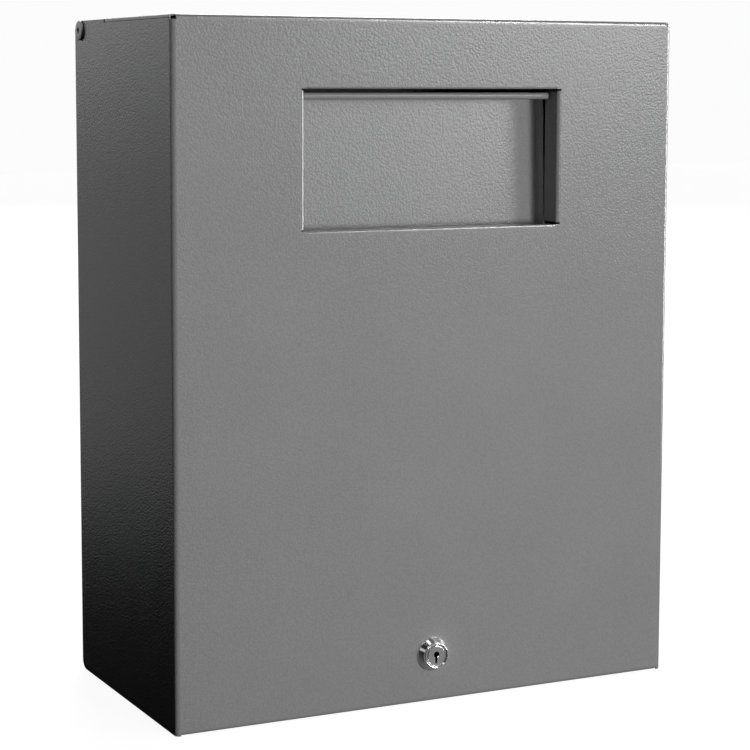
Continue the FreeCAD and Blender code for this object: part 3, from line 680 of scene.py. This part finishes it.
def makeCoatGrain():
    # Leathery relief of a textured powder coat: height = 0.45 fine - cells, where cells is the soft
    # distance to the nearest cell centre. The mottle is half a slow cloud, a random tone, and half the height,
    # which paints shade into the relief's hollows and highlight onto its peaks.
    group, given, result = makeGroup("coatGrain", [
        ("Position", "NodeSocketVector", None), ("Density", "NodeSocketFloat", 600.0)], ["Height", "Mottle"])
    n = addNodes(group, cells="ShaderNodeTexVoronoi", fine="ShaderNodeTexNoise", cloud="ShaderNodeTexNoise",
                 fineScale="ShaderNodeMath", fineShare="ShaderNodeMath", height="ShaderNodeMath",
                 spread="ShaderNodeMapRange", mottle="ShaderNodeMix")
    link = group.links.new
    n["cells"].feature = "SMOOTH_F1"
    n["cells"].inputs["Smoothness"].default_value = 0.5
    link(given["Position"], n["cells"].inputs["Vector"])
    link(given["Density"], n["cells"].inputs["Scale"])
    n["fineScale"].operation = "MULTIPLY"
    n["fineScale"].inputs[1].default_value = 1.4
    link(given["Density"], n["fineScale"].inputs[0])
    n["fine"].inputs["Detail"].default_value = 2
    link(given["Position"], n["fine"].inputs["Vector"])
    link(n["fineScale"].outputs[0], n["fine"].inputs["Scale"])
    n["fineShare"].operation = "MULTIPLY"
    n["fineShare"].inputs[1].default_value = 0.45
    link(n["fine"].outputs["Fac"], n["fineShare"].inputs[0])
    n["height"].operation = "SUBTRACT"
    link(n["fineShare"].outputs[0], n["height"].inputs[0])
    link(n["cells"].outputs["Distance"], n["height"].inputs[1])
    n["cloud"].inputs["Scale"].default_value = 14
    n["cloud"].inputs["Detail"].default_value = 4
    link(given["Position"], n["cloud"].inputs["Vector"])
    # Painted shade and highlight: the height, spread from 0 to 1, darkens the relief's hollows and lightens its
    # peaks through the tone.
    n["spread"].inputs["From Min"].default_value = -0.45
    n["spread"].inputs["From Max"].default_value = 0.15
    link(n["height"].outputs[0], n["spread"].inputs["Value"])
    n["mottle"].inputs["Factor"].default_value = 0.5
    link(n["cloud"].outputs["Fac"], n["mottle"].inputs[2])
    link(n["spread"].outputs["Result"], n["mottle"].inputs[3])
    link(n["height"].outputs[0], result["Height"])
    link(n["mottle"].outputs[0], result["Mottle"])
    return group


def makePlateGrain():
    # Fine scratches and clouding of plated metal: a noise stretched along one axis and a soft one.
    group, given, result = makeGroup("plateGrain", [
        ("Position", "NodeSocketVector", None), ("Density", "NodeSocketFloat", 600.0)], ["Height", "Cloud"])
    n = addNodes(group, stretch="ShaderNodeMapping", lines="ShaderNodeTexNoise", cloud="ShaderNodeTexNoise")
    link = group.links.new
    n["stretch"].inputs["Scale"].default_value = (0.08, 1.0, 1.0)
    link(given["Position"], n["stretch"].inputs["Vector"])
    link(n["stretch"].outputs["Vector"], n["lines"].inputs["Vector"])
    link(given["Density"], n["lines"].inputs["Scale"])
    n["lines"].inputs["Detail"].default_value = 3
    n["cloud"].inputs["Scale"].default_value = 160
    n["cloud"].inputs["Detail"].default_value = 3
    link(given["Position"], n["cloud"].inputs["Vector"])
    link(n["lines"].outputs["Fac"], result["Height"])
    link(n["cloud"].outputs["Fac"], result["Cloud"])
    return group


coatGrain = makeCoatGrain()
plateGrain = makePlateGrain()
# Near-black colour of the painted shade inside the keyhole.
keyholeShadeTone = 0.008


def finish(name, group, spec):
    # A Principled finish: the group's height makes the relief, and its second value moves the
    # colour and the roughness between two named ends. Points marked for the keyhole's painted shade are nearly
    # black.
    material = bpy.data.materials.new(name)
    material.use_nodes = True
    tree = material.node_tree
    link = tree.links.new
    shader = tree.nodes["Principled BSDF"]
    n = addNodes(tree, place="ShaderNodeTexCoord", grain="ShaderNodeGroup", tone="ShaderNodeMix",
                 rough="ShaderNodeMapRange", relief="ShaderNodeBump", grime="ShaderNodeAttribute",
                 grimy="ShaderNodeMix")
    n["grain"].node_tree = group
    n["grain"].inputs["Density"].default_value = spec["density"]
    link(n["place"].outputs["Object"], n["grain"].inputs["Position"])
    # For the powder coat this second value holds the cloud's random tone and the painted shade and highlight of
    # the relief.
    cloud = n["grain"].outputs[1]
    n["tone"].data_type = "RGBA"
    n["tone"].inputs[6].default_value = (*spec["dark"], 1)
    n["tone"].inputs[7].default_value = (*spec["light"], 1)
    link(cloud, n["tone"].inputs["Factor"])
    # Painted shade: the points marked in the keyhole take the near-black tone.
    n["grime"].attribute_name = "grime"
    n["grimy"].data_type = "RGBA"
    n["grimy"].inputs[7].default_value = (keyholeShadeTone, keyholeShadeTone, keyholeShadeTone, 1)
    link(n["grime"].outputs["Fac"], n["grimy"].inputs["Factor"])
    link(n["tone"].outputs[2], n["grimy"].inputs[6])
    link(n["grimy"].outputs[2], shader.inputs["Base Color"])
    n["rough"].inputs["To Min"].default_value = spec["smooth"]
    n["rough"].inputs["To Max"].default_value = spec["rough"]
    link(cloud, n["rough"].inputs["Value"])
    link(n["rough"].outputs["Result"], shader.inputs["Roughness"])
    n["relief"].inputs["Distance"].default_value = spec["relief"] * metre
    link(n["grain"].outputs["Height"], n["relief"].inputs["Height"])
    link(n["relief"].outputs["Normal"], shader.inputs["Normal"])
    shader.inputs["Metallic"].default_value = spec["metallic"]
    return material


finishes = {
    "powder_coat": (coatGrain, {"density": 720, "dark": (0.258, 0.258, 0.258), "light": (0.335, 0.335, 0.335),
                                "smooth": 0.20, "rough": 0.15, "relief": 0.10, "metallic": 0.0}),
    "lock_chrome": (plateGrain, {"density": 500, "dark": (0.6, 0.6, 0.6), "light": (0.75, 0.75, 0.75),
                                 "smooth": 0.06, "rough": 0.14, "relief": 0.004, "metallic": 1.0}),
    "zinc_steel": (plateGrain, {"density": 700, "dark": (0.45, 0.45, 0.44), "light": (0.66, 0.66, 0.65),
                                "smooth": 0.25, "rough": 0.42, "relief": 0.01, "metallic": 1.0}),
    "pivot_steel": (plateGrain, {"density": 700, "dark": (0.34, 0.34, 0.34), "light": (0.46, 0.46, 0.46),
                                 "smooth": 0.4, "rough": 0.55, "relief": 0.01, "metallic": 0.6}),
    "bumper_rubber": (coatGrain, {"density": 1500, "dark": (0.012, 0.012, 0.012), "light": (0.03, 0.03, 0.03),
                                  "smooth": 0.65, "rough": 0.85, "relief": 0.02, "metallic": 0.0}),
    "bush_plastic": (coatGrain, {"density": 900, "dark": (0.62, 0.61, 0.57), "light": (0.74, 0.73, 0.69),
                                 "smooth": 0.35, "rough": 0.5, "relief": 0.01, "metallic": 0.0}),
}
materials = {slot: finish(slot + "_finish", group, spec) for slot, (group, spec) in finishes.items()}
slotOf = {part["node"]: part["material_slot"] for part in frame["record"]["subparts"]}
for node, thing in nodes.items():
    thing.data.materials.clear()
    thing.data.materials.append(materials[slotOf[node]])
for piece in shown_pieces():
    if "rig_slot" in piece:
        piece.data.materials.clear()
        piece.data.materials.append(materials[piece["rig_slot"]])
print("finishes made:", len(materials))


# floor, lights, world and camera

studio = {
    "floorReach": 8.0,
    "floorTone": 0.16,
    "floorGlow": 0.93,
    "backdropTone": 0.97,
    "ambient": 0.01,
    # In front of the box the room's tone goes from 0.02, left of x = 0.05, to 0.30, right of x = 0.40.
    "frontRoom": (0.05, 0.40, 0.02, 0.30),
    # Behind it, from y = 0 to 0.5 on, the tone follows the height: (height, tone), within the range.
    "behind": (0.0, 0.5),
    "heightRange": (-0.4, 0.6),
    "heightStops": [(-0.212, 0.0), (-0.190, 0.31), (-0.12, 0.38), (-0.04, 0.42), (-0.012, 0.50), (0.03, 1.03),
                    (0.59, 0.7)],
}


def makeFloor():
    mesh = bpy.data.meshes.new("floor")
    reach = studio["floorReach"]
    mesh.from_pydata([(-reach, -reach, 0), (reach, -reach, 0), (reach, reach, 0), (-reach, reach, 0)],
                     [], [(0, 1, 2, 3)])
    floor = bpy.data.objects.new("floor", mesh)
    bpy.context.scene.collection.objects.link(floor)
    material = bpy.data.materials.new("floor_paint")
    material.use_nodes = True
    shader = material.node_tree.nodes["Principled BSDF"]
    tone = studio["floorTone"]
    shader.inputs["Base Color"].default_value = (tone, tone, tone, 1)
    shader.inputs["Roughness"].default_value = 0.9
    shader.inputs["Emission Color"].default_value = (1, 1, 1, 1)
    shader.inputs["Emission Strength"].default_value = studio["floorGlow"]
    mesh.materials.append(material)
    floor.visible_glossy = False
    floor.visible_diffuse = False


lamps = {
    "wall": {"place": (1.45, -2.15, 0.75), "aim": (0.0, -0.05, 0.40), "size": (2.6, 2.4), "watts": 6.0},
    "key": {"place": (1.97, -2.22, 1.08), "aim": (0.0, -0.05, 0.60), "size": (1.9, 1.35), "watts": 44,
            "hidden": "diffuse"},
    "front": {"place": (0.23, -1.70, 0.33), "aim": (0.06, -0.08, 0.25), "size": (0.30, 0.35), "watts": 17.6,
              "hidden": "glossy"},
    "high": {"place": (1.35, -1.50, 1.80), "aim": (0.0, -0.05, 0.35), "size": (0.50, 1.30), "watts": 56,
             "hidden": "diffuse"},
    "top": {"place": (-0.30, -0.12, 2.20), "aim": (0.0, -0.10, 0.03), "size": (0.60, 0.60), "watts": 3.6,
            "hidden": "diffuse"},
    "left": {"place": (-1.00, -0.95, 1.75), "aim": (0.0, -0.05, 0.20), "size": (0.7, 0.7), "watts": 14,
             "hidden": "diffuse"},
    "window": {"place": (-2.00, -0.25, 0.95), "aim": (0.0, -0.10, 0.03), "size": (0.7, 0.6), "watts": 0.8,
               "hidden": "diffuse"},
    "right": {"place": (2.30, -0.75, 0.50), "aim": (0.0, -0.05, 0.30), "size": (0.9, 1.2), "watts": 60,
              "hidden": "diffuse"},
    "rear": {"place": (1.80, 4.20, 2.60), "aim": (0.0, 0.05, 0.20), "size": (2.0, 2.0), "watts": 110},
}


def makeLamp(name, spec):
    data = bpy.data.lights.new(name, "AREA")
    data.shape = "RECTANGLE"
    data.size, data.size_y = spec["size"]
    data.energy = spec["watts"]
    lamp = bpy.data.objects.new(name, data)
    lamp.location = spec["place"]
    way = Vector(spec["aim"]) - Vector(spec["place"])
    lamp.rotation_euler = way.to_track_quat("-Z", "Y").to_euler()
    lamp.visible_camera = False
    lamp.visible_glossy = spec.get("hidden") != "glossy"
    lamp.visible_diffuse = spec.get("hidden") != "diffuse"
    bpy.context.scene.collection.objects.link(lamp)
    return lamp


def makeWorld():
    # The camera sees a pale backdrop. Reflections see a soft room that is dark below the table line.
    world = bpy.data.worlds.new("studio")
    world.use_nodes = True
    tree = world.node_tree
    link = tree.links.new
    back = tree.nodes["Background"]
    n = addNodes(tree, path="ShaderNodeLightPath", way="ShaderNodeTexCoord", split="ShaderNodeSeparateXYZ",
                 height="ShaderNodeMapRange", behind="ShaderNodeMapRange", room="ShaderNodeValToRGB",
                 lit="ShaderNodeMix", glossy="ShaderNodeMix", seen="ShaderNodeMix",
                 front="ShaderNodeMapRange")
    link(n["way"].outputs["Generated"], n["split"].inputs["Vector"])
    link(n["split"].outputs["Z"], n["height"].inputs["Value"])
    low, high = studio["heightRange"]
    n["height"].inputs["From Min"].default_value = low
    n["height"].inputs["From Max"].default_value = high
    link(n["height"].outputs["Result"], n["room"].inputs["Fac"])
    ramp = n["room"].color_ramp
    while len(ramp.elements) < len(studio["heightStops"]):
        ramp.elements.new(0.5)
    for element, (height, tone) in zip(ramp.elements, studio["heightStops"]):
        element.position = (height - low) / (high - low)
        element.color = (tone, tone, tone, 1)
    for mix in (n["lit"], n["glossy"], n["seen"]):
        mix.data_type = "RGBA"
    near, far = studio["behind"]
    n["behind"].inputs["From Min"].default_value = near
    n["behind"].inputs["From Max"].default_value = far
    link(n["split"].outputs["Y"], n["behind"].inputs["Value"])
    link(n["behind"].outputs["Result"], n["lit"].inputs["Factor"])
    for end, value in zip(("From Min", "From Max", "To Min", "To Max"), studio["frontRoom"]):
        n["front"].inputs[end].default_value = value
    link(n["split"].outputs["X"], n["front"].inputs["Value"])
    link(n["front"].outputs["Result"], n["lit"].inputs[6])
    link(n["room"].outputs["Color"], n["lit"].inputs[7])
    ambient, backdrop = studio["ambient"], studio["backdropTone"]
    n["glossy"].inputs[6].default_value = (ambient, ambient, ambient, 1)
    n["seen"].inputs[7].default_value = (backdrop, backdrop, backdrop, 1)
    link(n["path"].outputs["Is Glossy Ray"], n["glossy"].inputs["Factor"])
    link(n["lit"].outputs[2], n["glossy"].inputs[7])
    link(n["glossy"].outputs[2], n["seen"].inputs[6])
    link(n["path"].outputs["Is Camera Ray"], n["seen"].inputs["Factor"])
    link(n["seen"].outputs[2], back.inputs["Color"])
    world.cycles.sampling_method = "NONE"   # so that each kind of ray keeps its own room
    bpy.context.scene.world = world


camera = {
    "place": (-0.6605, -1.2408, 0.4154),    # across, in front of the box's face, and up
    "lens": 102.55,
    "yaw": 26.435,
    "pitch": -6.21,
    "roll": 0.156,
    "shiftY": -0.08,
}


def makeCamera():
    data = bpy.data.cameras.new("camera")
    data.lens = camera["lens"]
    data.shift_y = camera["shiftY"]
    eye = bpy.data.objects.new("camera", data)
    across, out, up = camera["place"]
    yaw, pitch, roll = (math.radians(camera[key]) for key in ("yaw", "pitch", "roll"))
    way = Vector((math.sin(yaw) * math.cos(pitch), math.cos(yaw) * math.cos(pitch), math.sin(pitch)))
    turn = way.to_track_quat("-Z", "Y").to_matrix() @ Matrix.Rotation(roll, 3, "Z")
    eye.matrix_world = Matrix.Translation((across, frontY * metre + out, up)) @ turn.to_4x4()
    bpy.context.scene.collection.objects.link(eye)
    bpy.context.scene.camera = eye


makeFloor()
for name, spec in lamps.items():
    makeLamp(name, spec)
makeWorld()
makeCamera()
bpy.context.scene.view_settings.view_transform = "Standard"
print("studio made")
